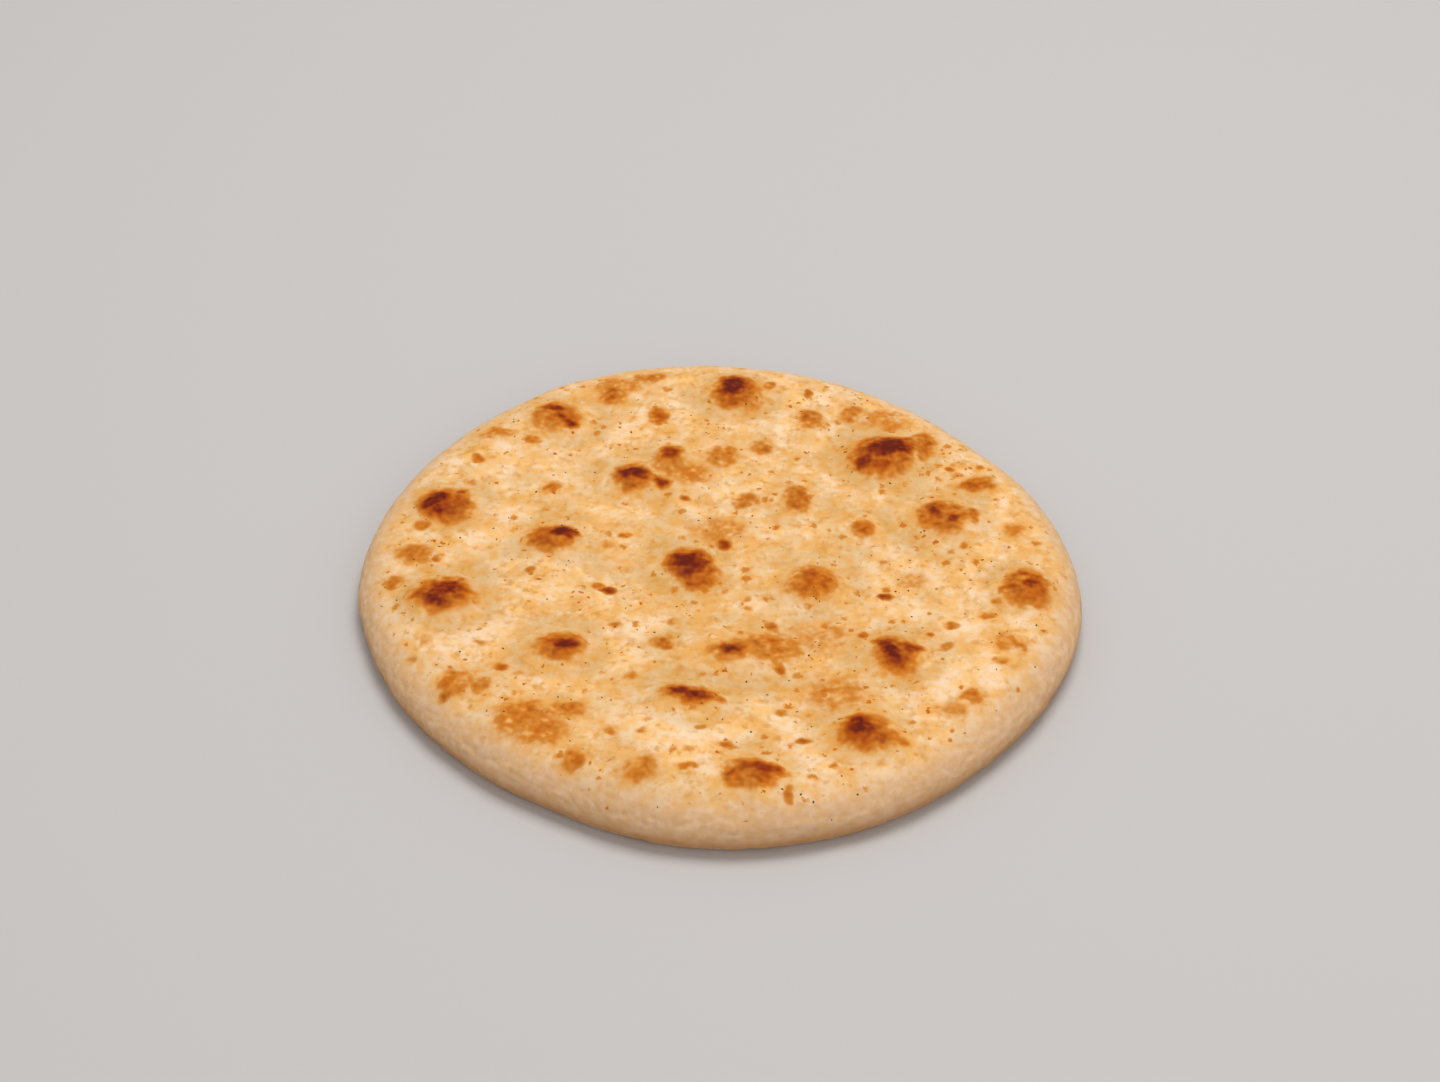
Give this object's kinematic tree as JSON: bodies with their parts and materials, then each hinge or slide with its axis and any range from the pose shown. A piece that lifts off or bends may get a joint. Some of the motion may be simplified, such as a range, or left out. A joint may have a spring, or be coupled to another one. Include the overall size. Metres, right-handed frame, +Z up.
{
  "type": "tandoori roti",
  "caption": "Thick round flatbread with a pillowed edge, a flat underside and a blistered top, lying flat.",
  "frame": {"origin": "on the flat underside, below the middle of the round", "axes": "+Z up through the thickness, -Y towards the viewer of the picture, +X to the right"},
  "size_m": [0.1992, 0.1946, 0.0173],
  "materials": {
    "crust": "matt dry baked crust, cream with browned blisters"
  },
  "bodies": {
    "root": {"roti": "crust"}
  },
  "joints": []
}
